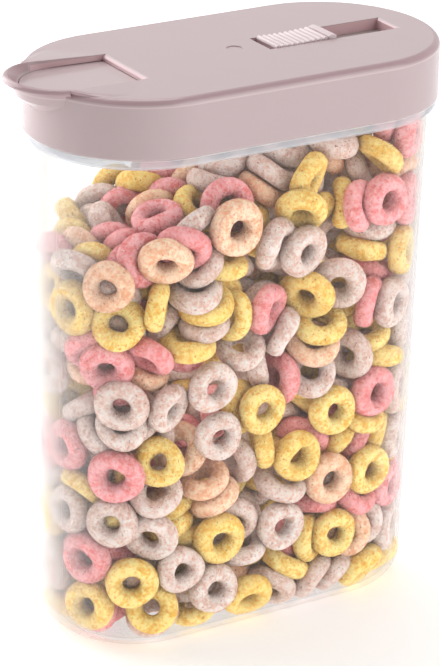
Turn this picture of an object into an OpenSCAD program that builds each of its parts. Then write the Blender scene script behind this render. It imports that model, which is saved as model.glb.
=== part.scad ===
// Cereal keeper with a sliding pour gate.
// A clear container with a racetrack plan carries a press-on lid. A ribbed thumb pad in a slot of
// the lid draws a flat gate back under the lid's top and opens the pour spout.
// Millimetres, +Z up. The origin is the centre of the container's flat base, X runs across the
// width, and the spout points to -Y.

/* [Plan] */
// Length of the straight sides between the two round ends
straight_len = 79; // [60:1:120]
// Outer radius of the container's round ends just under its collar
rim_radius = 37.4; // [34:0.2:50]
// Outer radius of the container's round ends at the table, before its rounded edge
foot_radius = 34.1; // [31:0.1:40]

/* [Container] */
// Height of the collar's top, on which the lid's skirt stands
collar_z = 193.5; // [120:0.5:260]
// Wall thickness of the container
wall = 1.6; // [1.2:0.1:2.4]
// Thickness of the container's floor
floor_t = 2.2; // [1.6:0.1:4]
// Radius of the rounded edge round the base
foot_fillet = 11; // [6:0.5:16]
// How far the collar stands out beyond the wall
collar_reach = 3; // [2.6:0.1:4]
// Height of the collar at the wall
collar_t = 4.6; // [3:0.1:7]
// Height of the neck above the collar
neck_h = 12; // [9:0.5:14]
// How far the neck's outside stands back from the wall below it
neck_step = 0.4; // [0:0.1:0.6]
// Reach of the snap bead round the neck
neck_bead = 1; // [0.4:0.1:1.2]
// Distance from the rim down to the middle of the neck's snap bead
neck_bead_drop = 4.3; // [3:0.1:5]
// Radius of the collar's rounded edge
collar_nose = 1.7; // [0.8:0.1:2]

/* [Lid] */
// Height of the lid's skirt, from the collar to the flat top
skirt_h = 21.5; // [19.5:0.5:28]
// How far the skirt stands out beyond the collar
skirt_proud = 0.6; // [0:0.1:1.5]
// Wall thickness of the skirt
skirt_wall = 2; // [1.6:0.1:2.2]
// How much the skirt narrows from its foot to the flat top, for moulding draft
skirt_draft = 0.3; // [0:0.1:0.6]
// Thickness of the lid's flat top
lid_plate = 2.2; // [1.6:0.1:2.6]
// Radius of the rounded edge round the lid's top
lid_fillet = 2.5; // [1:0.1:3.5]
// Reach of the snap bead inside the skirt's foot
skirt_bead = 0.6; // [0.3:0.1:0.7]
// Height of the middle of the skirt's snap bead above the collar
skirt_bead_z = 3.5; // [2.5:0.1:4.5]
// Rounding of the skirt's foot
skirt_edge = 0.6; // [0.2:0.1:0.9]
// Diameter of the shallow moulding mark in the middle of the lid
mark_d = 6; // [3:0.5:9]
// Depth of that mark
mark_depth = 0.3; // [0.1:0.05:0.6]

/* [Spout] */
// Distance from the middle of the lid to the spout's back wall
spout_back = 45; // [40:0.5:50]
// Width of the spout's back wall
spout_back_w = 30.8; // [26:0.2:33]
// Bevel along the top of the spout's back wall
back_bevel = 1.2; // [0.4:0.1:1.6]
// Radius of the spout's nose, inside its rim
nose_r = 17; // [15:0.1:18]
// How far the nose's inner edge reaches beyond the lid's end
nose_reach = 8.5; // [6:0.5:11]
// How far the nose's wall leans outwards from the gate to the rim
nose_lean = 4.5; // [2:0.1:5]
// Rise of the rim's tip above the lid's top
rim_rise = 1.6; // [0.8:0.1:2.4]
// Thickness of the rounded rim
rim_t = 1.6; // [1.4:0.1:2.4]
// Height of the rounded rim on its outside
rim_h = 2.1; // [1.8:0.1:2.8]
// Angle over which the rounded rim runs round the nose
rim_sweep = 154; // [140:2:170]
// Depth below the lid's top at which the spout's underside meets the skirt
spout_drop = 10; // [9:0.5:12]
// Radius of the spout's underside where it meets the skirt
bowl_r = 10; // [6:0.5:16]
// Wall of the spout round the gate's nose
bowl_wall = 0.7; // [0.6:0.05:1]

/* [Gate] */
// Thickness of the sliding gate
gate_t = 1.6; // [1.4:0.1:2.2]
// Depth of the gate's top below the lid's flat top
gate_depth = 2.4; // [2.3:0.1:3]
// Length of gate that stays under the lid's top when the gate is closed
gate_lap = 6.5; // [4:0.5:10]
// Clearance at the gate's edges
gate_clear = 0.3; // [0.2:0.05:0.5]

/* [Thumb slot and pad] */
// Distance from the middle of the lid to the front end of the thumb slot
slot_start = 10.7; // [6:0.1:14]
// Length of the thumb slot
slot_len = 54.8; // [44:0.1:58]
// Width of the thumb slot
slot_w = 14.3; // [12:0.1:18]
// Bevel along the top of the slot's rear end
slot_bevel = 0.8; // [0.3:0.1:1.4]
// Length of the thumb pad
pad_len = 26.2; // [22:0.1:29]
// Free length of slot in front of the pad while the gate is closed
pad_front_gap = 2.2; // [0.5:0.1:2.4]
// Free length of slot behind the pad when the gate is fully open
pad_end_gap = 0.8; // [0.3:0.1:1.4]
// Clearance at each side of the pad
pad_clear = 0.2; // [0.15:0.05:0.4]
// Number of thumb ribs across the pad
pad_ribs = 10; // [7:1:13]
// Height of the thumb ribs
rib_h = 0.8; // [0.5:0.1:1.2]
// Depth of the hollow for the thumb
pad_hollow = 0.45; // [0.2:0.05:0.6]
// Rise of the pad from its middle to its rear end
pad_rise = 0.35; // [0:0.05:0.5]
// Length of the broad ridge at the pad's rear end
ridge_len = 3.2; // [2.4:0.1:4]
// Diameter of the two pegs that hold the pad on the gate
peg_d = 4.4; // [3:0.1:5]

/* [Guide plate and seal] */
// Thickness of the guide plate that carries the gate
guide_t = 1.8; // [1.4:0.1:2.2]
// Thickness of the guide walls beside the gate
guide_wall = 1.6; // [1.2:0.1:2]
// Width of the pour port in the guide plate
port_w = 29; // [22:0.5:30]
// Distance from the middle of the lid to the port's back edge
port_back = 52; // [50:0.5:54]
// Height of the stiffening ribs under the guide plate
guide_rib_h = 2; // [1:0.1:3]
// Diameter of the heat stakes that hold the guide plate
stake_d = 4; // [3:0.1:5]
// Height of the stakes' flattened heads, and their reach beyond the stakes
stake_cap = 1.2; // [0.8:0.1:1.6]
// Clearance round each stake and peg
stake_clear = 0.1; // [0.05:0.05:0.2]
// Radial width of the seal ring
seal_w = 3.1; // [2.4:0.1:3.3]
// Height of the seal ring
seal_h = 2.5; // [2:0.1:2.5]
// How far the seal reaches inwards past the neck
seal_reach = 0.9; // [0.5:0.1:1.2]
// Bevel of the seal's lower edges
seal_bevel = 0.4; // [0.2:0.05:0.6]
// Thickness of the rib that holds the seal from the inside
seal_rib = 1.3; // [1:0.1:1.6]

/* [Hidden] */
$fn = 96;

eps = 0.1;
// Half heights of a snap bead at its root and at its crest
bead_root = 1.2;
bead_crest = 0.3;
// Small roundings of the collar, the neck and the lid's inside
small_edge = 0.3;
plate_corner = 1.5;
half_len = straight_len / 2;

// Container
wall_lean = atan((rim_radius - foot_radius) / collar_z);
foot_centre = foot_radius + foot_fillet * tan(wall_lean) - foot_fillet / cos(wall_lean);
inner_fillet = foot_fillet - wall;
neck_r = rim_radius - neck_step;
neck_in = rim_radius - wall;
neck_z = collar_z + neck_h;
collar_r = rim_radius + collar_reach;

// Lid, from its flat top down
lid_z = collar_z + skirt_h;
lid_r = collar_r + skirt_proud;
lid_top_r = lid_r - skirt_draft;
plate_z = lid_z - lid_plate;
gate_top = lid_z - gate_depth;
gate_z = gate_top - gate_t;
deck_z = gate_z - gate_clear;
skirt_in = lid_r - skirt_wall;

// Seal ring between the neck's rim and the land above it
seal_in = neck_in - seal_reach;
land_z = neck_z + seal_h;
rib_in = seal_in - gate_clear - seal_rib;

// Spout
nose_y = -(half_len + lid_r + nose_reach - nose_r);
rim_r = nose_r + rim_t;
rim_tilt = atan(rim_rise / (rim_r - nose_y - spout_back));
pocket_r = nose_r + gate_clear / 2;
pocket_y = nose_y + nose_lean + (pocket_r - nose_r);

// Gate and slot
gate_w = 2 * (pocket_r - gate_clear);
gate_rear = -spout_back + gate_lap;
travel = slot_len - pad_len - pad_front_gap - pad_end_gap;
channel_end = gate_rear + travel + pad_end_gap;
slot_end = slot_start + slot_len;
pad_start = slot_start + pad_front_gap;
pad_w = slot_w - 2 * pad_clear;
pad_pitch = (pad_len - ridge_len - 1) / pad_ribs;

// Half widths of the wide and the narrow part of the guide plate
channel_wide = pocket_r + guide_wall;
channel_narrow = slot_w / 2 + guide_wall;
stake_head = stake_d / 2 + stake_cap;
guide_wide = channel_wide + 2 * stake_head;
guide_narrow = channel_narrow + 2 * stake_head;
guide_r = rib_in - gate_clear;
guide_end = slot_end + guide_wall + 1;
guide_z = deck_z - guide_t;
guide_rib_inset = 4;
stakes_wide_y = [-port_back, channel_end - stake_head - 2];
stakes_narrow_y = [slot_start, slot_end - stake_head];
peg_share = 0.22;
pegs_y = [pad_start + pad_len * peg_share, pad_start + pad_len * (1 - peg_share)];

// Points of an arc round a centre, from one angle to another
function arc(centre, r, from, to, steps) = [
    for (i = [0:steps])
        let (a = from + (to - from) * i / steps)
        centre + r * [cos(a), sin(a)]
];

// Section of a snap bead that stands out from radius r, with its middle at height z
function bead(r, z, reach) = [
    [r, z - bead_root],
    [r + reach, z - bead_crest],
    [r + reach, z + bead_crest],
    [r, z + bead_root]
];

// The same points in the opposite order
function reversed(points) = [for (i = [len(points) - 1:-1:0]) points[i]];

// Height of the thumb pad between its ribs, at a share t of its length, hollowed for the thumb
function pad_top(t) = lid_z + pad_hollow * pow(2 * t - 1, 2) + pad_rise * (2 * t - 1);

// Sweeps a wall section, drawn as radius and height, round the racetrack plan
module racetrack(section) {
    translate([0, half_len, 0]) rotate_extrude(angle = 180) polygon(section);
    translate([0, -half_len, 0]) rotate([0, 0, 180]) rotate_extrude(angle = 180) polygon(section);
    rotate([90, 0, 0]) linear_extrude(straight_len, center = true) {
        polygon(section);
        mirror([1, 0]) polygon(section);
    }
}

// Flat racetrack outline of a given end radius
module racetrack_2d(r) {
    translate([0, half_len]) circle(r);
    translate([0, -half_len]) circle(r);
    square([2 * r, straight_len], center = true);
}

// Rectangle that is centred on the long axis and runs from y0 to y1
module bar_2d(half_w, y0, y1) {
    translate([-half_w, y0]) square([2 * half_w, y1 - y0]);
}

// Clear container: floor, tapered wall, collar and neck in one wall section
module container_body() {
    section = concat(
        [[0, 0]],
        arc([foot_centre, foot_fillet], foot_fillet, -90, -wall_lean, 10),
        [[rim_radius - collar_t * tan(wall_lean), collar_z - collar_t]],
        arc([collar_r - collar_nose, collar_z - collar_nose - small_edge], collar_nose, -60, 0, 4),
        arc([collar_r - small_edge, collar_z - small_edge], small_edge, 0, 90, 2),
        [[neck_r, collar_z]],
        bead(neck_r, neck_z - neck_bead_drop, neck_bead),
        [
            [neck_r, neck_z - small_edge],
            [neck_r - small_edge, neck_z],
            [neck_in, neck_z],
            [neck_in, collar_z - collar_t]
        ],
        arc([foot_centre, inner_fillet + floor_t], inner_fillet, -wall_lean, -90, 10),
        [[0, floor_t]]
    );
    color([0.88, 0.92, 0.95, 0.35]) racetrack(section);
}

// Outline of the spout at its rim, widened by a margin
module spout_plan(margin) {
    back = spout_back_w / 2 + margin;
    nose = nose_r + margin;
    translate([0, nose_y + spout_back]) circle(nose);
    polygon([
        [-back, 0],
        [-nose, nose_y + spout_back],
        [nose, nose_y + spout_back],
        [back, 0]
    ]);
}

// Carries its children from the lid's middle to the spout's tilted rim plane
module on_rim() {
    translate([0, -spout_back, lid_z]) rotate([-rim_tilt, 0, 0]) children();
}

// Rounded rim round the spout's nose
module spout_rim() {
    inside = nose_r - 1;
    top = rim_t - eps;
    foot = rim_h - top - eps;
    rim_section = concat(
        [[inside, -rim_h]],
        arc([rim_r - foot, foot - rim_h], foot, -90, 0, 4),
        arc([rim_r - top, -top], top, 0, 90, 8),
        [[inside, 0]]
    );
    on_rim() translate([0, nose_y + spout_back, 0]) rotate([0, 0, -90 - rim_sweep / 2])
        rotate_extrude(angle = rim_sweep) polygon(rim_section);
}

// Gentle rise of the lid's top towards the spout's rim
module spout_swell() {
    slab = 0.5;
    hull() {
        on_rim() translate([0, 0, -slab - eps]) linear_extrude(slab) intersection() {
            spout_plan(rim_t - 2 * eps);
            bar_2d(2 * rim_r, nose_y + spout_back - rim_r * cos(rim_sweep / 2), -1);
        }
        translate([0, 0, lid_z - lid_plate / 2]) linear_extrude(eps) intersection() {
            translate([0, -half_len]) circle(lid_top_r - lid_fillet + 1);
            bar_2d(2 * lid_r, -2 * lid_r - half_len, 2 - spout_back);
        }
    }
}

// Underside of the spout, which draws in from the rim round the gate's nose to the skirt
module spout_bowl() {
    skirt_y = -half_len - lid_r;
    slab = 0.5;
    lip = 1.6;
    hull() {
        on_rim() translate([0, nose_y + spout_back + lip / 2, -rim_h / 2 - slab])
            cylinder(r = rim_r - lip, h = slab);
        translate([0, pocket_y - bowl_wall, deck_z - bowl_wall - slab])
            cylinder(r = pocket_r + bowl_wall, h = slab);
        translate([0, skirt_y + bowl_r - eps, lid_z - spout_drop]) cylinder(r = bowl_r, h = slab);
    }
}

// Open trough over the gate, with its nose wall leaning outwards and the top of its back wall bevelled
module spout_trough() {
    hull() {
        translate([0, 0, gate_top]) linear_extrude(eps) {
            translate([0, pocket_y]) circle(pocket_r);
            polygon([
                [-spout_back_w / 2, -spout_back],
                [-pocket_r, pocket_y],
                [pocket_r, pocket_y],
                [spout_back_w / 2, -spout_back]
            ]);
        }
        on_rim() linear_extrude(eps) spout_plan(0);
    }
    hull() {
        translate([0, 0, lid_z - back_bevel]) linear_extrude(eps)
            bar_2d(spout_back_w / 2 - eps, -spout_back - 1, -spout_back - eps);
        translate([0, 0, lid_z + eps]) linear_extrude(eps)
            bar_2d(spout_back_w / 2 - eps, -spout_back - 1, back_bevel - spout_back);
    }
}

// Flat outline of the gate's head, widened by a margin, back to a given y
module gate_head_2d(margin, rear) {
    translate([0, pocket_y]) circle(gate_w / 2 + margin);
    bar_2d(gate_w / 2 + margin, pocket_y, rear);
}

// Carries its children to the stakes that hold the guide plate, a pair in each row
module at_stakes() {
    for (y = stakes_wide_y, side = [-1, 1])
        translate([side * (channel_wide + stake_head), y, 0]) children();
    for (y = stakes_narrow_y, side = [-1, 1])
        translate([side * (channel_narrow + stake_head), y, 0]) children();
}

// Shell of the lid without its spout and slot
module lid_shell() {
    corner_r = skirt_in - skirt_draft - plate_corner;
    racetrack(concat(
        [[0, plate_z], [corner_r, plate_z]],
        arc([corner_r, plate_z - plate_corner], plate_corner, 90, 0, 3),
        reversed(bead(skirt_in, collar_z + skirt_bead_z, -skirt_bead)),
        [[skirt_in, collar_z], [lid_r - skirt_edge, collar_z]],
        arc([lid_r - skirt_edge, collar_z + skirt_edge], skirt_edge, -90, 0, 3),
        arc([lid_top_r - lid_fillet, lid_z - lid_fillet], lid_fillet, 0, 90, 8),
        [[0, lid_z]]
    ));
}

// Walls under the lid's top that guide the gate's head, its tongue and the thumb pad
module guide_walls() {
    translate([0, 0, deck_z]) linear_extrude(plate_z - deck_z + eps) difference() {
        intersection() {
            union() {
                bar_2d(channel_wide, -2 * lid_r, channel_end + guide_wall);
                bar_2d(channel_narrow, channel_end, slot_end + guide_wall);
            }
            racetrack_2d(skirt_in - skirt_draft);
        }
        bar_2d(pocket_r, -3 * lid_r, channel_end);
        bar_2d(slot_w / 2, channel_end - eps, slot_end);
    }
}

// Section of a ring that hangs from the lid's top down to height z
function ring_down(inner, outer, z) = [
    [inner, z],
    [outer, z],
    [outer, plate_z + eps],
    [inner, plate_z + eps]
];

// Ring that presses on the seal, the rib inside the seal, and the floor under the gate's nose
module seal_seat() {
    racetrack(ring_down(seal_in + seal_bevel, seal_in + seal_w - small_edge, land_z));
    racetrack(ring_down(rib_in, rib_in + seal_rib, land_z - seal_h / 2 - small_edge));
    translate([0, 0, land_z]) linear_extrude(deck_z - land_z) intersection() {
        difference() {
            racetrack_2d(skirt_in);
            racetrack_2d(rib_in);
        }
        bar_2d(channel_wide, -2 * lid_r, -half_len);
    }
}

// Spout as added to the lid's shell, cleared where the neck, the seal and the port lie
module spout_body() {
    difference() {
        union() {
            spout_rim();
            spout_swell();
            spout_bowl();
        }
        translate([0, 0, collar_z]) linear_extrude(land_z - collar_z) racetrack_2d(skirt_in);
        translate([0, 0, land_z - eps]) linear_extrude(plate_z - land_z + eps) racetrack_2d(rib_in);
    }
}

// Stakes with their flattened heads
module stakes() {
    at_stakes() translate([0, 0, guide_z - stake_cap]) {
        cylinder(d = stake_d, h = plate_z - guide_z + stake_cap + eps);
        cylinder(r = stake_head, h = stake_cap);
    }
}

// Room for the gate, the thumb pad's slot and the mark in the lid's middle
module lid_cuts() {
    spout_trough();
    translate([0, 0, deck_z]) {
        linear_extrude(plate_z - deck_z) gate_head_2d(gate_clear, channel_end);
        linear_extrude(gate_top - deck_z + eps) intersection() {
            gate_head_2d(gate_clear, channel_end);
            bar_2d(lid_r, -3 * lid_r, -spout_back);
        }
        linear_extrude(lid_z - deck_z + 1) bar_2d(slot_w / 2, slot_start, slot_end);
    }
    translate([-slot_w / 2, slot_end, lid_z]) rotate([90, 0, 90]) linear_extrude(slot_w)
        polygon([[-1, -slot_bevel - 1], [slot_bevel + 1, 1], [-1, 1]]);
    translate([0, 0, lid_z - mark_depth]) cylinder(d = mark_d, h = 1);
}

// Lid with its spout, thumb slot, guide walls and stakes
module lid_cap() {
    color([0.84, 0.76, 0.77]) difference() {
        union() {
            lid_shell();
            spout_body();
            seal_seat();
            guide_walls();
            stakes();
        }
        lid_cuts();
    }
}

// Outline of the guide plate: wide beside the gate's head and narrow beside its tongue
module guide_2d() {
    intersection() {
        union() {
            bar_2d(guide_wide, -2 * lid_r, channel_end + guide_wall + 1);
            bar_2d(guide_narrow, channel_end, guide_end);
        }
        racetrack_2d(guide_r);
    }
}

// Outline of the pour port, which leaves a rim of the guide plate round the spout's end
module port_2d() {
    port_rim = 2.2;
    intersection() {
        bar_2d(port_w / 2, -2 * lid_r, -port_back);
        racetrack_2d(guide_r - port_rim);
    }
}

// Plate under the lid that carries the gate and leaves the pour port open
module guide_plate() {
    rib_len = guide_end + port_back - 2 * guide_rib_inset;
    color([0.80, 0.71, 0.72]) {
        difference() {
            translate([0, 0, guide_z]) linear_extrude(guide_t) guide_2d();
            translate([0, 0, guide_z - 1]) {
                linear_extrude(guide_t + 2) port_2d();
                at_stakes() cylinder(d = stake_d + 2 * stake_clear, h = guide_t + 2);
            }
        }
        for (side = [-1, 1])
            translate([side * slot_w / 4, (guide_end - port_back) / 2, guide_z - guide_rib_h / 2])
                cube([guide_wall, rib_len, guide_rib_h + eps], center = true);
    }
}

// Flat gate: a round-nosed head that closes the spout, and the tongue that carries the thumb pad
module slide_gate() {
    color([0.84, 0.77, 0.77]) translate([0, 0, gate_z]) difference() {
        linear_extrude(gate_t) {
            gate_head_2d(0, gate_rear);
            bar_2d(pad_w / 2, gate_rear - eps, pad_start + pad_len);
        }
        for (y = pegs_y) translate([0, y, -1]) cylinder(d = peg_d + 2 * stake_clear, h = gate_t + 2);
    }
}

// Outline of the thumb pad from the side: a hollowed top with thumb ribs and a broad end ridge
module pad_side_2d() {
    first_rib = 0.5;
    rib_shares = [0, 0.22, 0.58, 0.8];
    rib_rises = [0, rib_h, rib_h, 0];
    ribs = [
        for (i = [0:pad_ribs - 1], k = [0:3])
            let (y = first_rib + pad_pitch * (i + rib_shares[k]))
            [y, pad_top(y / pad_len) + rib_rises[k]]
    ];
    ridge_z = pad_top(1) + rib_h;
    polygon(concat(
        [[0, gate_top], [0, pad_top(0) - 0.2]],
        ribs,
        [
            [pad_len - ridge_len, pad_top(1) + 0.2],
            [pad_len - ridge_len * 0.75, ridge_z],
            [pad_len - ridge_len * 0.5, ridge_z],
            [pad_len, pad_top(1) - rib_h * 0.75],
            [pad_len, gate_top]
        ]
    ));
}

// Ribbed thumb pad with the two pegs that press into the gate
module thumb_button() {
    color([0.92, 0.85, 0.86]) {
        translate([-pad_w / 2, pad_start, 0]) rotate([90, 0, 90]) linear_extrude(pad_w) pad_side_2d();
        for (y = pegs_y) translate([0, y, gate_z]) cylinder(d = peg_d, h = gate_t + eps);
    }
}

// Soft seal ring on the neck's rim
module lid_seal() {
    seal_out = seal_in + seal_w;
    color([0.93, 0.93, 0.92]) racetrack([
        [seal_in, neck_z + seal_bevel],
        [seal_in + seal_bevel, neck_z],
        [seal_out - seal_bevel, neck_z],
        [seal_out, neck_z + seal_bevel],
        [seal_out, land_z],
        [seal_in, land_z]
    ]);
}

container_body();
lid_cap();
guide_plate();
slide_gate();
thumb_button();
lid_seal();
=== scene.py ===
"""Looks of a clear cereal keeper with a sliding pour gate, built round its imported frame.

Metres, +Z up. The origin is the centre of the container's flat base, X runs across the width, and
the spout points to -Y.
"""

import math

import bmesh
import bpy
import numpy as np
from bpy.props import FloatProperty, FloatVectorProperty, IntProperty, PointerProperty
from mathutils import Matrix, Vector


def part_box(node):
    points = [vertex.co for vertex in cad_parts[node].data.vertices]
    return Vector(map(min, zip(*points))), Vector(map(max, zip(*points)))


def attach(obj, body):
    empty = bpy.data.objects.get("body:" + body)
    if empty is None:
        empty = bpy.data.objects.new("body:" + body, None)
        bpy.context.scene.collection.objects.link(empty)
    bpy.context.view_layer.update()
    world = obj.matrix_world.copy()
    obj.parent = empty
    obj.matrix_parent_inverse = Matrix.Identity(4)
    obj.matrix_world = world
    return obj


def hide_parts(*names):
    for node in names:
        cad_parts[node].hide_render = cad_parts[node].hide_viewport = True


bl_info = {
    "name": "Cereal Keeper",
    "version": (1, 0, 0),
    "blender": (4, 5, 0),
    "location": "3D View > Sidebar > Keeper",
    "description": "Builds the finish of a clear cereal keeper with a sliding pour gate",
    "category": "Object",
}

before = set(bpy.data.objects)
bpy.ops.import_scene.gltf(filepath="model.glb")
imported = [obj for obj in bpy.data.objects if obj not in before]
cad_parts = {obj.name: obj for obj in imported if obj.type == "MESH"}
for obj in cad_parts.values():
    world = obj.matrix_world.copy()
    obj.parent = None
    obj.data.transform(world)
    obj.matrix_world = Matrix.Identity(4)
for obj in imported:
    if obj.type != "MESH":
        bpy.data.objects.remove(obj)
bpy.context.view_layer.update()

NECK_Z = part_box("container_body")[1].z
GATE_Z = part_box("slide_gate")[1].z
PAD_LOW, PAD_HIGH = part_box("thumb_button")
PAD_LEN = PAD_HIGH.y - PAD_LOW.y
# Places of the two pegs along the pad
PEG_SHARES = (0.22, 0.78)
# A hair's breadth by which a piece or a band of colour runs past the face it ends on
HAIR = 0.0001


def length(name, description, default):
    """A size in metres that a user may change."""
    return FloatProperty(
        name=name,
        description=description,
        default=default,
        min=0,
        precision=5,
        subtype="DISTANCE",
        unit="LENGTH",
    )


def colour(name, description, default):
    """A linear colour that a user may change."""
    return FloatVectorProperty(
        name=name, description=description, default=default, min=0, max=1, size=3, subtype="COLOR"
    )


class KeeperSizes(bpy.types.PropertyGroup):
    """Sizes of the pieces that are made here"""

    straight_len: length("Straight length", "Length of the straight sides between the round ends", 0.079)
    rim_radius: length("Rim radius", "Outer radius of the round ends under the collar", 0.0374)
    foot_radius: length("Foot radius", "Outer radius of the round ends at the table", 0.0341)
    collar_z: length("Collar height", "Height of the collar's top", 0.1935)
    wall: length("Wall", "Wall thickness of the container", 0.0016)
    floor_t: length("Floor", "Thickness of the container's floor", 0.0022)
    foot_fillet: length("Foot fillet", "Radius of the rounded edge round the base", 0.011)
    collar_reach: length("Collar reach", "How far the collar stands out beyond the wall", 0.003)
    collar_t: length("Collar thickness", "Height of the collar at the wall", 0.0046)
    collar_nose: length("Collar nose", "Radius of the collar's lower edge", 0.0017)
    collar_edge: length("Collar edge", "Radius of the collar's upper edge", 0.0005)
    neck_step: length("Neck step", "How far the neck stands back from the wall", 0.0004)
    neck_bead: length("Neck bead", "Reach of the snap bead round the neck", 0.001)
    neck_bead_drop: length("Neck bead drop", "Distance from the rim to the snap bead's middle", 0.0043)
    lip_edge: length("Lip edge", "Radius of the outer edge of the neck's lip", 0.0004)
    lip_inner_edge: length("Lip inner edge", "Radius of the inner edge of the neck's lip", 0.0003)
    lid_z: length("Lid top", "Height of the lid's flat top", 0.215)
    lid_edge: length("Lid edge", "How far the lid's rounded edge runs in from the skirt", 0.0016)
    rib_h: length("Rib height", "Height of the thumb ribs", 0.0008)
    rib_groove: length("Rib groove", "Depth of the grooves between the thumb ribs", 0.0003)
    ridge_len: length("Ridge length", "Length of the broad ridge at the pad's rear end", 0.0036)
    pad_hollow: length("Pad hollow", "Depth of the hollow for the thumb", 0.00045)
    pad_rise: length("Pad rise", "Rise of the pad from its middle to its rear end", 0.00035)
    pad_round: length("Pad rounding", "Radius of the pad's upper edges", 0.0004)
    peg_d: length("Peg diameter", "Diameter of the pegs under the pad", 0.0044)
    pad_ribs: IntProperty(name="Ribs", description="Number of thumb ribs", default=10, min=3, max=20)


class KeeperColours(bpy.types.PropertyGroup):
    """Colours of the finishes"""

    lid: colour("Lid", "Dusty pink of the lid", (0.55, 0.425, 0.435))
    gate: colour("Gate", "Pink of the gate", (0.585, 0.46, 0.465))
    pad: colour("Thumb pad", "Paler pink of the thumb pad", (0.60, 0.485, 0.49))
    guide: colour("Guide plate", "Pink of the guide plate under the lid", (0.40, 0.33, 0.31))
    clear: colour("Haze", "Milky haze of the clear plastic", (0.84, 0.83, 0.825))
    collar: colour("Collar haze", "Bluish haze of the thick collar", (0.66, 0.68, 0.73))
    seal: colour("Seal", "Translucent white of the seal ring", (0.78, 0.78, 0.76))
    floor: colour("Floor", "Pale floor", (0.90, 0.90, 0.90))


class KeeperContents(bpy.types.PropertyGroup):
    """Cereal rings that stand in the container for the view"""

    count: IntProperty(name="Rings", description="Number of cereal rings", default=585, min=1, max=900)
    seed: IntProperty(name="Seed", description="Seed of the rings' places and shapes", default=7, min=0)
    passes: IntProperty(name="Passes", description="Passes of the settling", default=180, min=1)
    lying: FloatProperty(name="Lying", description="Lean of half the rings towards lying flat at the start",
                         default=4, min=0)
    # Strength of the painted light that the rings give off on their open sides
    glow: FloatProperty(name="Glow", description="Light of the rings' own on their open sides", default=0.58,
                        min=0)
    outer_d: length("Ring diameter", "Outer diameter of a ring", 0.0200)
    hole_d: length("Hole diameter", "Diameter of a ring's hole", 0.0062)
    thick: length("Ring thickness", "Thickness of a ring", 0.0077)
    fill_front: length("Front fill", "Height of the fill at the spout's end", 0.1634)
    fill_rear: length("Rear fill", "Height of the fill at the other end", 0.1906)
    yellow: colour("Yellow", "Yellow rings", (0.98, 0.74, 0.15))
    mauve: colour("Mauve", "Grey mauve rings", (0.79, 0.66, 0.61))
    rose: colour("Rose", "Rose rings", (0.92, 0.34, 0.37))
    peach: colour("Peach", "Peach rings", (0.97, 0.64, 0.41))
    crumb: colour("Crumb", "Pale crumb of the puffed surface", (1.0, 0.95, 0.88))
    toast: colour("Toast", "Tint of the baked patches", (0.78, 0.60, 0.52))
    fleck: colour("Fleck", "Dark flecks", (0.20, 0.08, 0.05))


class KeeperView(bpy.types.PropertyGroup):
    """Camera and lamps"""

    azimuth: FloatProperty(name="Azimuth", description="Bearing of the camera", default=math.radians(58.163),
                           subtype="ANGLE", unit="ROTATION")
    elevation: FloatProperty(name="Elevation", description="Height angle of the camera",
                             default=math.radians(22.73), subtype="ANGLE", unit="ROTATION")
    roll: FloatProperty(name="Roll", description="Turn of the camera about its own axis",
                        default=math.radians(1.325), subtype="ANGLE", unit="ROTATION")
    distance: length("Distance", "Distance from the camera to its aim point", 1.10523)
    aim: FloatVectorProperty(name="Aim", description="Point in the middle of the picture",
                             default=(0.05518, -0.03753, 0.13314), subtype="TRANSLATION", unit="LENGTH")
    lens: FloatProperty(name="Lens", description="Focal length on a 36 mm frame", default=172.8,
                        subtype="DISTANCE_CAMERA")
    room: FloatProperty(name="Room", description="Brightness of the room round the horizon", default=0.52)
    floor_glow: FloatProperty(name="Floor glow", description="Light of the floor's own", default=0.40)
    left_power: FloatProperty(name="Left lamp", description="Power of the left softbox", default=15.5,
                              unit="POWER")
    right_power: FloatProperty(name="Right lamp", description="Power of the right softbox", default=8,
                               unit="POWER")
    top_power: FloatProperty(name="Top lamp", description="Power of the softbox overhead", default=6.5,
                             unit="POWER")


# Shapes as arrays of points


def arc(centre, radius, start, end, steps):
    """Points centre + radius (cos a, sin a), with a from start to end in degrees."""
    a = np.radians(np.linspace(start, end, steps + 1))
    return np.column_stack([centre[0] + radius * np.cos(a), centre[1] + radius * np.sin(a)])


def racetrack_sweep(section, half_len, around=128):
    """A section of (radius, height) points carried round the racetrack plan.

    At turn t the point is (r cos t, c + r sin t, z), where c is half_len on the first half turn and
    -half_len on the second, so the straight sides lie between the two half turns.
    """
    half = np.linspace(0, np.pi, around // 2 + 1)
    t = np.concatenate([half, half + np.pi])[:, None]
    c = np.repeat([half_len, -half_len], len(half))[:, None]
    r, z = np.asarray(section).T
    return np.stack([r * np.cos(t), c + r * np.sin(t), np.broadcast_to(z, (len(t), len(z)))], axis=-1)


def grid_quads(rows, columns, close_rows=False, close_columns=False):
    """Corner numbers of the quads of a grid that is stored row by row."""
    i = np.arange(rows if close_rows else rows - 1)[:, None]
    j = np.arange(columns if close_columns else columns - 1)[None]
    i2, j2 = (i + 1) % rows, (j + 1) % columns
    corners = [i * columns + j, i2 * columns + j, i2 * columns + j2, i * columns + j2]
    return np.stack(corners, axis=-1).reshape(-1, 4)


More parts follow.
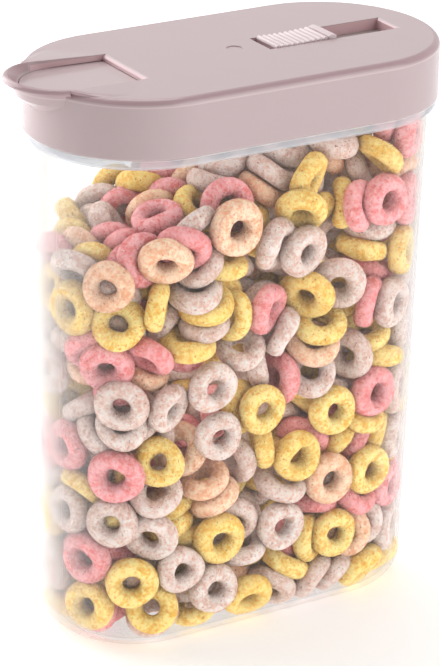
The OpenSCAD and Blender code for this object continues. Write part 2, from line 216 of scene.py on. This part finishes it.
def make_piece(name, parts, sharp_angle=35.0):
    """An object from (points, faces) parts, with its doubles merged and its edges sharp above an angle."""
    mesh = bpy.data.meshes.new(name)
    points, faces, base = [], [], 0
    for part_points, part_faces in parts:
        points.append(np.asarray(part_points, float).reshape(-1, 3))
        faces += [[int(v) + base for v in face] for face in part_faces]
        base += len(points[-1])
    mesh.from_pydata(np.concatenate(points).tolist(), [], faces)
    work = bmesh.new()
    work.from_mesh(mesh)
    bmesh.ops.remove_doubles(work, verts=work.verts, dist=1e-6)
    bmesh.ops.dissolve_degenerate(work, edges=work.edges, dist=1e-6)
    work.to_mesh(mesh)
    work.free()
    mesh.shade_smooth()
    mesh.set_sharp_from_angle(angle=math.radians(sharp_angle))
    made = bpy.data.objects.new(name, mesh)
    bpy.context.scene.collection.objects.link(made)
    return made


def container_section(s):
    """Wall section of the container, from the middle of the base out, up, over the rim and back in."""
    lean = math.atan((s.rim_radius - s.foot_radius) / s.collar_z)
    degrees = math.degrees(lean)
    centre = s.foot_radius + s.foot_fillet * math.tan(lean) - s.foot_fillet / math.cos(lean)
    inner = s.foot_fillet - s.wall
    collar_r = s.rim_radius + s.collar_reach
    neck_r = s.rim_radius - s.neck_step
    neck_in = s.rim_radius - s.wall
    under = s.collar_z - s.collar_t
    nose, edge, lip, lip_in = s.collar_nose, s.collar_edge, s.lip_edge, s.lip_inner_edge
    nose_drop = 0.0004
    bead_z = NECK_Z - s.neck_bead_drop
    bead_root = 0.0013
    outside = [
        [[0, 0]],
        arc((centre, s.foot_fillet), s.foot_fillet, -90, -degrees, 14),
        [[s.rim_radius - s.collar_t * math.tan(lean), under]],
        arc((collar_r - nose, s.collar_z - nose - nose_drop), nose, -60, 0, 6),
        arc((collar_r - edge, s.collar_z - edge), edge, 0, 90, 3),
        [[neck_r, s.collar_z], [neck_r, bead_z - bead_root]],
        arc((neck_r, bead_z), s.neck_bead, -60, 60, 6),
        [[neck_r, bead_z + bead_root]],
        arc((neck_r - lip, NECK_Z - lip), lip, 0, 90, 3),
        arc((neck_in + lip_in, NECK_Z - lip_in), lip_in, 90, 180, 3),
        [[neck_in, under]],
        arc((centre, inner + s.floor_t), inner, -degrees, -90, 12),
        [[0, s.floor_t]],
    ]
    return np.concatenate([np.asarray(part, float) for part in outside])


def pad_profile(s, steps_per_rib=10, ridge_steps=12):
    """Side outline of the thumb pad: y and z along its top.

    The top is a shallow hollow, which is a parabola of y that leans up to the rear. On it stands a row
    of ribs, each |sin| to the power 0.8, and a broad rounded ridge at the rear end.
    """
    front = PAD_LOW.y + s.pad_round
    share = np.linspace(0, 1, s.pad_ribs * steps_per_rib + 1)
    y = front + share * (PAD_LEN - s.ridge_len - s.pad_round)
    u = 2 * (y - PAD_LOW.y) / PAD_LEN - 1
    hollow = s.lid_z + s.pad_hollow * u**2 + s.pad_rise * u
    crest = s.rib_h + s.rib_groove
    ribs = crest * np.abs(np.sin(math.pi * s.pad_ribs * share)) ** 0.8 - s.rib_groove
    t = np.linspace(0, 1, ridge_steps + 1)[1:]
    ridge_y = PAD_HIGH.y - s.ridge_len * (1 - t)
    ridge_z = hollow[-1] + crest * np.sin(math.pi * np.minimum(t * 0.8 + 0.08, 1)) ** 0.7
    ridge_z[-1] = hollow[-1] - 2 * s.rib_groove
    return np.concatenate([y, ridge_y]), np.concatenate([hollow + ribs, ridge_z])


def mark_crests(mesh, s):
    """Attribute on the pad's points: their share of the way from a groove's bottom to a rib's crest."""
    places = np.empty(len(mesh.vertices) * 3)
    mesh.vertices.foreach_get("co", places)
    _, y, z = places.reshape(-1, 3).T
    line_y, line_z = pad_profile(s)
    window = 0.002
    stations = PAD_LOW.y + np.linspace(0, PAD_LEN, 2 * s.pad_ribs + 2)
    groove_z = [line_z[np.abs(line_y - at) < window].min() for at in stations]
    crest = (z - np.interp(y, stations, groove_z)) / (s.rib_h + s.rib_groove)
    made = mesh.attributes.new("crest", "FLOAT", "POINT")
    made.data.foreach_set("value", crest.clip(0, 1).astype(np.float32))


def tube(x, y, radius, z0, z1, around=32):
    """A closed round peg: two rings of points and a middle point at each end."""
    a = np.linspace(0, 2 * np.pi, around, endpoint=False)
    rows = [(0, z0), (radius, z0), (radius, z1), (0, z1)]
    points = np.array([[x + r * np.cos(a), y + r * np.sin(a), np.full(around, z)] for r, z in rows])
    points = points.transpose(2, 0, 1)
    return points, grid_quads(around, len(rows), close_rows=True)


# Shader maths


class Wire:
    """A shader value; an operator on it adds the Math node that works it out"""

    def __init__(self, shade, socket):
        self.shade = shade
        self.socket = socket

    def __add__(self, other):
        return self.shade.maths("ADD", self, other)

    def __sub__(self, other):
        return self.shade.maths("SUBTRACT", self, other)

    def __rsub__(self, other):
        return self.shade.maths("SUBTRACT", other, self)

    def __mul__(self, other):
        return self.shade.maths("MULTIPLY", self, other)

    def __pow__(self, other):
        return self.shade.maths("POWER", self, other)

    def __gt__(self, other):
        return self.shade.maths("GREATER_THAN", self, other)

    def __lt__(self, other):
        return self.shade.maths("LESS_THAN", self, other)

    __radd__ = __add__
    __rmul__ = __mul__


class Shade:
    """A material, or the world around the object, that is being put together"""

    def __init__(self, name, kind="materials"):
        self.made = getattr(bpy.data, kind).new(name)
        self.made.use_nodes = True
        self.tree = self.made.node_tree
        self.tree.nodes.clear()

    def node(self, kind, inputs=None, output=0, stops=None, **settings):
        """Adds a node: its settings first, then the values or links of its sockets."""
        made = self.tree.nodes.new(kind)
        for key, value in settings.items():
            setattr(made, key, value)
        if stops:
            ramp = made.color_ramp
            while len(ramp.elements) < len(stops):
                ramp.elements.new(0.5)
            for element, (place, value) in zip(ramp.elements, stops):
                element.position = place
                element.color = (*value, 1)
        for key, value in (inputs or {}).items():
            if isinstance(value, Wire):
                self.tree.links.new(value.socket, made.inputs[key])
            elif made.inputs[key].type == "RGBA" and len(value) == 3:
                made.inputs[key].default_value = (*value, 1)
            else:
                made.inputs[key].default_value = value
        return Wire(self, made.outputs[output]) if made.outputs else None

    def maths(self, operation, *values):
        """A Math node on values or links."""
        return self.node("ShaderNodeMath", dict(enumerate(values)), operation=operation)

    def place(self):
        """Object coordinates."""
        return self.node("ShaderNodeTexCoord", output="Object")

    def attribute(self, name, output="Fac"):
        """Values that are stored on the piece's points."""
        return self.node("ShaderNodeAttribute", attribute_name=name, output=output)

    def axis(self, letter):
        """One of the object coordinates, in metres."""
        return self.node("ShaderNodeSeparateXYZ", {0: self.place()}, output=letter)

    def outwards(self, half_len):
        """Distance from the spine of the racetrack plan."""
        beyond = self.maths("MAXIMUM", self.maths("ABSOLUTE", self.axis("Y")) - half_len, 0.0)
        return (self.axis("X") ** 2.0 + beyond * beyond) ** 0.5

    def between(self, value, low, high):
        """1 where a value lies between two numbers, and 0 elsewhere."""
        return (value > low) * (value < high)

    def step(self, value, low, high):
        """Smooth rise from 0 to 1 while a value goes from low to high."""
        inputs = {"Value": value, "From Min": low, "From Max": high}
        return self.node("ShaderNodeMapRange", inputs, interpolation_type="SMOOTHSTEP", output="Result")

    def noise(self, scale, detail=3.0, roughness=0.55, vector=None):
        """Noise between 0 and 1, with scale in turns a metre."""
        inputs = {"Vector": vector or self.place(), "Scale": scale, "Detail": detail, "Roughness": roughness}
        return self.node("ShaderNodeTexNoise", inputs)

    def cloudiness(self):
        """Slow cloudiness of moulded plastic."""
        return self.noise(38.0, detail=2.0)

    def mix(self, share, a, b, **settings):
        """Colour a at share 0 and colour b at share 1."""
        return self.node("ShaderNodeMix", {0: share, 6: a, 7: b}, output=2, data_type="RGBA", **settings)

    def bump(self, height, distance):
        """A normal that follows a height of 0 to 1, raised by a distance in metres."""
        return self.node("ShaderNodeBump", {"Height": height, "Distance": distance, "Strength": 1.0})

    def principled(self, **inputs):
        """A Principled shader; a socket's name is written with _ for a space."""
        return self.node("ShaderNodeBsdfPrincipled", {key.replace("_", " "): v for key, v in inputs.items()})

    def finish(self, surface, kind="Material"):
        """Joins a shader to the output and gives the material or world."""
        self.node("ShaderNodeOutput" + kind, {"Surface": surface})
        return self.made


# Finishes


def shaded(tint, *shares):
    """A tint with its channels times the shares, or all of them times one share."""
    return tuple(c * share for c, share in zip(tint, shares * (3 // len(shares))))


def moulded_skin(shade, base, cloud, roughness):
    """Gloss and fine skin of satin moulded plastic over a base colour."""
    skin_depth = 0.00001
    fine = shade.noise(2600.0, detail=2.0)
    gloss = roughness + 0.05 * (cloud - 0.5) + 0.04 * (fine - 0.5)
    skin = shade.bump(fine, skin_depth)
    plastic = shade.principled(Base_Color=base, Roughness=gloss, Normal=skin, IOR=1.47, Coat_Weight=0.15)
    return shade.finish(plastic)


def moulded_plastic(name, tint, roughness):
    """Satin moulded plastic with a slight cloudiness in its colour."""
    shade = Shade(name)
    cloud = shade.cloudiness()
    return moulded_skin(shade, shade.mix(cloud, shaded(tint, 0.965), tint), cloud, roughness)


def pad_plastic(name, tint, roughness):
    """Satin thumb pad plastic: painted highlights on the rib crests, painted shade in the grooves."""
    shade = Shade(name)
    # Painted light: the rib crests are lightened as a highlight and the grooves darkened as shade
    crest = shade.step(shade.attribute("crest"), 0.15, 0.85)
    base = shade.mix(crest, shaded(tint, 0.70, 0.62, 0.64), shaded(tint, 1.28, 1.30, 1.32))
    return moulded_skin(shade, base, shade.cloudiness(), roughness)


def lid_plastic(name, tint, roughness, top_z, half_len, edge_r):
    """Satin plastic of the lid, whose flat top lies at top_z and reaches out to edge_r.

    Painted on its colour are a darker, deeper band on the rounded edge for a dark reflection, a pale
    highlight line under that edge, and a paler, warmer bounce light in its recesses.
    """
    dark_band_low, dark_band_high, edge_in = top_z - 0.0020, top_z - 0.0014, edge_r - 0.0009
    recess_z, recess_r = top_z - 0.00035, edge_r - 0.0012
    line_z, highlight_core, highlight_end = top_z - 0.00255, 0.0001, 0.0004
    shade = Shade(name)
    cloud = shade.cloudiness()
    out = shade.outwards(half_len)
    height = shade.axis("Z")
    # Painted dark reflection: a deeper, darker band on the rounded edge of the lid
    edge = shade.step(height, dark_band_low, dark_band_high) * shade.step(out, edge_in, edge_r)
    # Painted bounce light: paler, warmer colour in the recesses under the flat top
    painted_recess_light = (height < recess_z) * (out < recess_r)
    # Painted highlight: a pale line just under the rounded edge
    off_highlight = shade.step(shade.maths("ABSOLUTE", height - line_z), highlight_core, highlight_end)
    line = (1.0 - off_highlight) * (out > edge_in)
    plain = shade.mix(cloud, shaded(tint, 0.97), tint)
    base = shade.mix(painted_recess_light, plain, shaded(tint, 1.30, 1.16, 1.18))
    base = shade.mix(0.8 * edge, base, shaded(tint, 0.86, 0.74, 0.77))
    base = shade.mix(0.5 * line, base, shaded(tint, 1.35))
    return moulded_skin(shade, base, cloud, roughness)


def clear_plastic(name, haze, collar_haze, collar_low, collar_high):
    """Clear plastic: see-through, with a milky haze and a gloss that both grow towards the edge.

    A painted reflection, as extra milky haze, grows round the two ends, and the thick collar between
    the two heights is hazier and a little bluish, with a paler line along each of its edges.
    """
    reflection_start, reflection_full = 0.053, 0.0765
    line_w = 0.0006
    shade = Shade(name)
    facing = shade.node("ShaderNodeLayerWeight", {"Blend": 0.5}, output="Facing")
    height = shade.axis("Z")
    thick = shade.between(height, collar_low, collar_high)
    lines = thick * (1.0 - shade.between(height, collar_low + line_w, collar_high - line_w))
    # Painted reflection: extra milky haze that grows round the two round ends
    end = shade.step(shade.maths("ABSOLUTE", shade.axis("Y")), reflection_start, reflection_full)

    outline = shade.mix(facing**3.0, haze, shaded(haze, 0.80))
    tint = shade.mix(thick - 0.9 * lines, outline, collar_haze)
    clear = shade.node("ShaderNodeBsdfTransparent", {"Color": (0.985, 0.985, 0.985)})
    milk = shade.principled(Base_Color=tint, Roughness=0.35, IOR=1.45)
    gloss = shade.node("ShaderNodeBsdfAnisotropic", {"Color": (0.95, 0.95, 0.95), "Roughness": 0.16})
    cloud = 0.004 * shade.noise(30.0, detail=2.0)
    hazy = cloud + 0.25 * facing**2.2 + 0.60 * facing * end + 0.42 * thick + 0.2 * lines
    body = shade.node("ShaderNodeMixShader", {0: hazy, 1: clear, 2: milk})
    shine = 0.012 + 0.35 * facing**5.0
    return shade.finish(shade.node("ShaderNodeMixShader", {0: shine, 1: body, 2: gloss}))


def seal_rubber(name, tint):
    """Soft translucent rubber with a matt, slightly dusty skin."""
    shade = Shade(name)
    dust = shade.noise(900.0, detail=4.0)
    base = shade.mix(dust, shaded(tint, 0.9), tint)
    gloss = 0.55 + 0.15 * dust
    return shade.finish(shade.principled(Base_Color=base, Roughness=gloss, Normal=shade.bump(dust, 0.00003)))


def cereal_finish(c):
    """Matt puffed cereal: four tints, pale crumb, baked patches, dark flecks and wrinkles round the hole.

    The wrinkles run out from the hole, and sides that nothing covers glow a little in their own
    colour: a painted light, fading by ambient occlusion so that the gaps between rings stay darker.
    """
    wrinkle_depth = 0.0016
    cover_reach = 0.01
    black = (0.0, 0.0, 0.0)
    shade = Shade("puffed_cereal")
    tints = [(0.0, c.yellow), (0.36, c.mauve), (0.73, c.rose), (0.89, c.peach)]
    tint = shade.node("ShaderNodeValToRGB", {0: shade.attribute("flavour")}, stops=tints)
    tint.socket.node.color_ramp.interpolation = "CONSTANT"
    shade_of_one = shade.attribute("shade")
    spoke = shade.attribute("spoke", output="Vector")
    patch = shade.noise(240.0, detail=2.0)
    crumb = shade.noise(750.0, detail=5.0, roughness=0.7)
    fleck = shade.noise(1300.0, detail=1.0)
    wrinkle = shade.noise(5.0, detail=3.0, roughness=0.65, vector=spoke)
    baked = shade.mix(1.0, tint, c.toast, blend_type="MULTIPLY")
    pale = shade.mix(0.22, tint, c.crumb)
    grained = shade.mix(shade.step(0.7 * crumb + 0.5 * patch, 0.45, 0.70), baked, pale)
    worn = shade.mix(0.3 * shade_of_one, grained, baked)
    speckled = shade.mix(0.7 * (fleck > 0.69), worn, c.fleck)
    # Painted light: open sides glow in the rings' own colour, by ambient occlusion; the gaps stay darker
    free = shade.node(
        "ShaderNodeAmbientOcclusion", {"Distance": cover_reach}, samples=6, only_local=True, output="AO"
    )
    relief = 0.7 * crumb + 1.2 * wrinkle + 0.5 * patch
    normal = shade.bump(relief, wrinkle_depth)
    # Painted light: emission in the speckled colour where the rings lie open
    glow = {"Emission_Color": shade.mix(free**2.0, black, speckled), "Emission_Strength": c.glow}
    return shade.finish(
        shade.principled(Base_Color=speckled, Roughness=0.85, Normal=normal, IOR=1.35, **glow)
    )


def dress(names, material):
    """Gives CAD nodes a material."""
    for name in names:
        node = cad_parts[name]
        for each in node.material_slots:
            each.material = material


def place_piece(piece, material, body, slot, *stands_for):
    """Gives a new piece its finish, its body and the nodes that it stands for."""
    piece.data.materials.append(material)
    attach(piece, body)
    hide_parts(*stands_for)


# Contents


def wall_inside(s, z, margin):
    """Radius that a bead may reach at a height, inside the leaning wall and the rounded foot."""
    lean = (s.rim_radius - s.foot_radius) / s.collar_z
    free = s.foot_radius + lean * z - s.wall - margin
    curve = s.foot_fillet - s.wall - margin
    below = np.clip(curve - (z - s.floor_t - margin), 0, curve)
    return free - curve + np.sqrt(curve**2 - below**2)


def keep_inside(s, c, beads, margin):
    """Moves beads back inside the wall, over the floor and under the sloping fill line.

    The fill line slopes along the straight sides and on through most of the round ends.
    """
    half = s.straight_len / 2
    share = (beads[..., 1] / s.straight_len + 0.5).clip(-0.4, 1.4)
    fill = c.fill_front + (c.fill_rear - c.fill_front) * share
    z = np.maximum(beads[..., 2], s.floor_t + margin)
    z = np.minimum(z, fill - margin)
    spine = beads[..., 1].clip(-half, half)
    out = np.hypot(beads[..., 0], beads[..., 1] - spine)
    pull = np.minimum(1.0, wall_inside(s, z, margin) / np.maximum(out, 1e-6))
    x = beads[..., 0] * pull
    y = spine + (beads[..., 1] - spine) * pull
    return np.stack([x, y, z], axis=-1)


def part_rings(beads, centres, reach, bead_r, boost=3.0):
    """Bead moves that push apart the rings that overlap.

    Two beads of different rings that overlap move apart by half the overlap each, shared by the root
    of a bead's touches, and raised where only a few of a ring's beads are touched.
    """
    apart = np.linalg.norm(centres[:, None] - centres[None], axis=-1)
    first, second = np.nonzero(np.triu(apart < reach, 1))
    gap = beads[first][:, :, None] - beads[second][:, None]
    distance = np.linalg.norm(gap, axis=-1)
    push = np.maximum(2 * bead_r - distance, 0) / np.maximum(distance, 1e-6) / 2
    touch = (push > 0).astype(float)
    move = push[..., None] * gap
    shift = np.zeros_like(beads)
    touches = np.zeros(beads.shape[:2])
    np.add.at(shift, first, move.sum(2))
    np.add.at(shift, second, -move.sum(1))
    np.add.at(touches, first, touch.sum(2))
    np.add.at(touches, second, touch.sum(1))
    touched = np.maximum((touches > 0).sum(1), 1)
    raised = np.minimum(boost, beads.shape[1] / touched)
    return raised[:, None, None] * shift / np.sqrt(np.maximum(touches, 1))[..., None]


def settle_rings(s, c, beads_in_ring=9):
    """Centres and turns of rings that were poured in.

    Each ring is a circle of beads that grows to its full size over the first passes, so few rings
    start linked, and one of each pair that stays linked goes. A pass lowers the beads a little,
    parts the rings that overlap, moves the beads inside the wall, and then turns each ring rigidly
    to fit its beads, by the polar factor of their moment.
    """
    start_size = 0.3
    fall = 0.00005
    linked = 0.9 * c.thick
    rng = np.random.default_rng(c.seed)
    full_r = (c.outer_d + c.hole_d) / 4
    full_bead = (c.outer_d - c.hole_d) / 8 + c.thick / 4
    a = np.linspace(0, 2 * np.pi, beads_in_ring, endpoint=False)
    unit = np.column_stack([np.cos(a), np.sin(a), np.zeros(beads_in_ring)])
    reach_y = s.straight_len / 2 + s.foot_radius
    low = np.array([-s.foot_radius, -reach_y, 0.01])
    high = np.array([s.foot_radius, reach_y, c.fill_rear])
    centres = low + (high - low) * rng.random((c.count, 3))
    lean = rng.normal(size=(c.count, 3, 3))
    lean[:, 2, 2] += c.lying * (rng.random(c.count) < 0.5)
    turns, _ = np.linalg.qr(lean[:, :, ::-1])
    turns = turns[:, :, ::-1]
    passes = c.passes
    for step in range(passes):
        grown = min(1.0, start_size + step / passes)
        bead_r = grown * full_bead
        circle = grown * full_r * unit
        beads = centres[:, None] + np.einsum("kj,nij->nki", circle, turns)
        beads[..., 2] -= fall
        beads += part_rings(beads, centres, 2 * grown * (full_r + full_bead), bead_r)
        beads = keep_inside(s, c, beads, bead_r)
        centres = beads.mean(1)
        moment = np.einsum("nki,kj->nij", beads - centres[:, None], circle)
        u, _, vt = np.linalg.svd(moment)
        u[:, :, 2] *= np.linalg.det(u @ vt)[:, None]
        turns = u @ vt
    near = np.linalg.norm(centres[:, None] - centres[None], axis=-1) < linked
    apart = ~np.triu(near, 1).any(0)
    return centres[apart], turns[apart]


def ring_points(c, centres, turns, around=12, section=6):
    """Rings of uneven dough as one array, with their spoke directions.

    A ring's point is ((R + a cos v) cos u, (R + a cos v) sin u, b sin v), where R, a and b each swell
    a little with two slow waves of u, before the ring's own turn and place. The sizes are raised for
    what one step of subdivision takes away.
    """
    rng = np.random.default_rng(c.seed + 1)
    n = len(centres)
    u = np.linspace(0, 2 * np.pi, around, endpoint=False)
    v = np.linspace(0, 2 * np.pi, section, endpoint=False)
    grown_r = 1 / 0.966
    grown_t = 1 / 0.87
    warp = 0.0006
    spoke_rise = 0.35

    def swell(strength):
        phase = rng.random((2, n, 1)) * 2 * np.pi
        size = strength * rng.random((2, n, 1))
        waves = 1 + size[0] * np.cos(2 * u + phase[0]) + size[1] * np.cos(3 * u + phase[1])
        return waves[..., None]

    scale = 0.94 + 0.12 * rng.random((n, 1, 1))
    big = grown_r * scale * (c.outer_d + c.hole_d) / 4 * swell(0.05)
    wide = grown_t * scale * (c.outer_d - c.hole_d) / 4 * swell(0.09)
    high = grown_t * scale * c.thick / 2 * swell(0.09)
    reach = big + wide * np.sign(np.cos(v)) * np.abs(np.cos(v)) ** 0.6
    bend = warp * rng.random((n, 1, 1)) * np.cos(2 * u + 2 * np.pi * rng.random((n, 1)))[..., None]
    local = np.stack(
        [reach * np.cos(u)[:, None], reach * np.sin(u)[:, None], high * np.sin(v) + bend], axis=-1
    )
    spread = np.broadcast_to(np.sin(v) * spoke_rise, reach.shape)
    spoke = np.stack(
        [
            np.broadcast_to(np.cos(u)[:, None], reach.shape),
            np.broadcast_to(np.sin(u)[:, None], reach.shape),
            spread + np.arange(n)[:, None, None],
        ],
        axis=-1,
    )
    placed = np.einsum("nuvj,nij->nuvi", local, turns) + centres[:, None, None]
    return placed, spoke


# Stage


def bearing(azimuth, elevation):
    """Unit vector to a bearing: azimuth 0 points to -Y and turns towards +X."""
    level = math.cos(elevation)
    return Vector((math.sin(azimuth) * level, -math.cos(azimuth) * level, math.sin(elevation)))


def softbox(name, azimuth, elevation, distance, size, power):
    """A square lamp at a bearing in degrees, turned to the middle of the object."""
    middle = Vector((0, 0, 0.12))
    away = bearing(math.radians(azimuth), math.radians(elevation))
    lamp = bpy.data.lights.new(name, "AREA")
    lamp.size = size
    lamp.energy = power
    made = bpy.data.objects.new(name, lamp)
    turn = away.to_track_quat("Z", "Y").to_matrix().to_4x4()
    made.matrix_world = Matrix.Translation(middle + distance * away) @ turn
    bpy.context.scene.collection.objects.link(made)


def studio_world(v):
    """White room: dimmer overhead and on the camera's side than behind the object."""
    shade = Shade("studio", "worlds")
    way = shade.node("ShaderNodeTexCoord", output="Generated")
    x, y, z = (shade.node("ShaderNodeSeparateXYZ", {0: way}, output=axis) for axis in "XYZ")
    behind = y * math.cos(v.azimuth) - x * math.sin(v.azimuth)
    strength = v.room * (1.0 + 0.55 * behind - 0.35 * shade.step(z, 0.1, 0.9))
    light = shade.node("ShaderNodeBackground", {"Color": (1.0, 1.0, 1.0), "Strength": strength})
    return shade.finish(light, "World")


# Operators


def settings():
    """The sizes, colours and contents of the scene's keeper."""
    scene = bpy.context.scene
    return scene.keeper_sizes, scene.keeper_colours, scene.keeper_contents


class KEEPER_OT_container(bpy.types.Operator):
    """Make the clear container with its rounded foot, collar and neck"""

    bl_idname = "keeper.container"
    bl_label = "Container"

    def execute(self, context):
        s, colours, _ = settings()
        section = container_section(s)
        points = racetrack_sweep(section, s.straight_len / 2)
        quads = grid_quads(*points.shape[:2], close_rows=True)
        shell = make_piece("clear_container", [(points, quads)])
        skin = clear_plastic(
            "clear_plastic", colours.clear, colours.collar, s.collar_z - s.collar_t, s.collar_z + HAIR
        )
        place_piece(shell, skin, "container", "clear_plastic", "container_body")
        return {"FINISHED"}


class KEEPER_OT_lid(bpy.types.Operator):
    """Finish the lid, the guide plate and the seal"""

    bl_idname = "keeper.lid"
    bl_label = "Lid"

    def execute(self, context):
        s, colours, _ = settings()
        edge_r = s.rim_radius + s.collar_reach - s.lid_edge
        lid = lid_plastic("lid_plastic", colours.lid, 0.17, s.lid_z, s.straight_len / 2, edge_r)
        dress(["lid_cap"], lid)
        dress(["guide_plate"], moulded_plastic("guide_plastic", colours.guide, 0.42))
        dress(["lid_seal"], seal_rubber("seal_rubber", colours.seal))
        return {"FINISHED"}


class KEEPER_OT_gate(bpy.types.Operator):
    """Finish the sliding gate"""

    bl_idname = "keeper.gate"
    bl_label = "Gate"

    def execute(self, context):
        _, colours, _ = settings()
        dress(["slide_gate"], moulded_plastic("gate_plastic", colours.gate, 0.14))
        return {"FINISHED"}


class KEEPER_OT_thumb_pad(bpy.types.Operator):
    """Make the hollowed thumb pad with its rounded ribs"""

    bl_idname = "keeper.thumb_pad"
    bl_label = "Thumb pad"

    def execute(self, context):
        s, colours, _ = settings()
        y, z = pad_profile(s)
        half = PAD_HIGH.x
        r = s.pad_round
        edge = arc((half - r, -r), r, 0, 90, 4)
        across = np.concatenate([[[half, None]], edge, edge[::-1] * [-1, 1], [[-half, None]]])
        rows = []
        for x, drop in across:
            height = np.full_like(z, GATE_Z) if drop is None else z + drop
            rows.append(np.column_stack([np.full_like(y, x), y, height]))
        points = np.array(rows)
        lines, stations = points.shape[:2]
        quads = grid_quads(lines, stations, close_rows=True).tolist()
        front = [i * stations for i in range(lines)]
        rear = [first + stations - 1 for first in front]
        faces = quads + [front, rear[::-1]]
        parts = [(points, faces)]
        for share in PEG_SHARES:
            peg_y = PAD_LOW.y + share * PAD_LEN
            parts.append(tube(0, peg_y, s.peg_d / 2, PAD_LOW.z, GATE_Z + HAIR))
        pad = make_piece("ribbed_thumb_pad", parts, sharp_angle=40)
        mark_crests(pad.data, s)
        work = bmesh.new()
        work.from_mesh(pad.data)
        bmesh.ops.recalc_face_normals(work, faces=work.faces)
        work.to_mesh(pad.data)
        work.free()
        plastic = pad_plastic("pad_plastic", colours.pad, 0.25)
        place_piece(pad, plastic, "slider", "button_plastic", "thumb_button")
        return {"FINISHED"}


class KEEPER_OT_contents(bpy.types.Operator):
    """Pour the cereal rings that stand in the container for the view"""

    bl_idname = "keeper.contents"
    bl_label = "Contents"

    def execute(self, context):
        s, _, c = settings()
        centres, turns = settle_rings(s, c)
        points, spoke = ring_points(c, centres, turns)
        n, around, section = points.shape[:3]
        quads = grid_quads(around, section, close_rows=True, close_columns=True)
        faces = (np.arange(n)[:, None, None] * around * section + quads).reshape(-1, 4)
        mesh = bpy.data.meshes.new("cereal_rings")
        mesh.from_pydata(points.reshape(-1, 3).tolist(), [], faces.tolist())
        rng = np.random.default_rng(c.seed + 2)
        per_ring = {"flavour": rng.random(n), "shade": rng.random(n)}
        for name, values in per_ring.items():
            made = mesh.attributes.new(name, "FLOAT", "POINT")
            made.data.foreach_set("value", np.repeat(values, around * section).astype(np.float32))
        made = mesh.attributes.new("spoke", "FLOAT_VECTOR", "POINT")
        made.data.foreach_set("vector", spoke.reshape(-1).astype(np.float32))
        mesh.shade_smooth()
        rings = bpy.data.objects.new("cereal_rings", mesh)
        context.scene.collection.objects.link(rings)
        rings.modifiers.new("rounding", "SUBSURF").levels = 1
        rings.modifiers["rounding"].render_levels = 1
        mesh.materials.append(cereal_finish(c))
        return {"FINISHED"}


class KEEPER_OT_stage(bpy.types.Operator):
    """Set the pale floor, the soft studio lamps and the camera"""

    bl_idname = "keeper.stage"
    bl_label = "Stage"

    def execute(self, context):
        scene = context.scene
        v = scene.keeper_view
        _, colours, _ = settings()
        half_floor = 4.0
        corners = [[x * half_floor, y * half_floor, 0] for x, y in ((-1, -1), (1, -1), (1, 1), (-1, 1))]
        floor = make_piece("floor", [(corners, [[0, 1, 2, 3]])])
        shade = Shade("floor_paper")
        grain = shade.noise(220.0)
        base = shade.mix(grain, shaded(colours.floor, 0.985), colours.floor)
        glow = {"Emission_Color": (1.0, 1.0, 1.0), "Emission_Strength": v.floor_glow}
        floor.data.materials.append(shade.finish(shade.principled(Base_Color=base, Roughness=0.9, **glow)))

        scene.world = studio_world(v)
        softbox("left_softbox", azimuth=-60, elevation=20, distance=1.2, size=1.3, power=v.left_power)
        softbox("right_softbox", azimuth=118, elevation=14, distance=1.3, size=1.1, power=v.right_power)
        softbox("top_softbox", azimuth=-100, elevation=72, distance=1.3, size=0.9, power=v.top_power)

        back = bearing(v.azimuth, v.elevation)
        right = Vector((math.cos(v.azimuth), math.sin(v.azimuth), 0))
        up = back.cross(right)
        turned_right = math.cos(v.roll) * right + math.sin(v.roll) * up
        turned_up = back.cross(turned_right)
        lens = bpy.data.cameras.new("camera")
        lens.sensor_width = 36
        lens.lens = v.lens
        camera = bpy.data.objects.new("camera", lens)
        turn = Matrix((turned_right, turned_up, back)).transposed().to_4x4()
        camera.matrix_world = Matrix.Translation(Vector(v.aim) + v.distance * back) @ turn
        scene.collection.objects.link(camera)
        scene.camera = camera
        scene.view_settings.view_transform = "Standard"
        return {"FINISHED"}


class KEEPER_PT_panel(bpy.types.Panel):
    """Lists the keeper's pieces"""

    bl_label = "Keeper"
    bl_idname = "KEEPER_PT_panel"
    bl_space_type = "VIEW_3D"
    bl_region_type = "UI"
    bl_category = "Keeper"

    def draw(self, context):
        for operator in OPERATORS:
            self.layout.operator(operator.bl_idname)


OPERATORS = (
    KEEPER_OT_stage,
    KEEPER_OT_container,
    KEEPER_OT_lid,
    KEEPER_OT_gate,
    KEEPER_OT_thumb_pad,
    KEEPER_OT_contents,
)
GROUPS = {
    "keeper_sizes": KeeperSizes,
    "keeper_colours": KeeperColours,
    "keeper_contents": KeeperContents,
    "keeper_view": KeeperView,
}


def register():
    """Registers the settings, the operators and the panel."""
    for name, group in GROUPS.items():
        bpy.utils.register_class(group)
        setattr(bpy.types.Scene, name, PointerProperty(type=group))
    for operator in OPERATORS:
        bpy.utils.register_class(operator)
    bpy.utils.register_class(KEEPER_PT_panel)


def unregister():
    """Takes them back in the opposite order."""
    bpy.utils.unregister_class(KEEPER_PT_panel)
    for operator in reversed(OPERATORS):
        bpy.utils.unregister_class(operator)
    for name, group in reversed(list(GROUPS.items())):
        delattr(bpy.types.Scene, name)
        bpy.utils.unregister_class(group)


def main():
    """Builds everything in order."""
    register()
    bpy.ops.keeper.stage()
    bpy.ops.keeper.container()
    bpy.ops.keeper.lid()
    bpy.ops.keeper.gate()
    bpy.ops.keeper.thumb_pad()
    bpy.ops.keeper.contents()


if __name__ == "__main__":
    main()
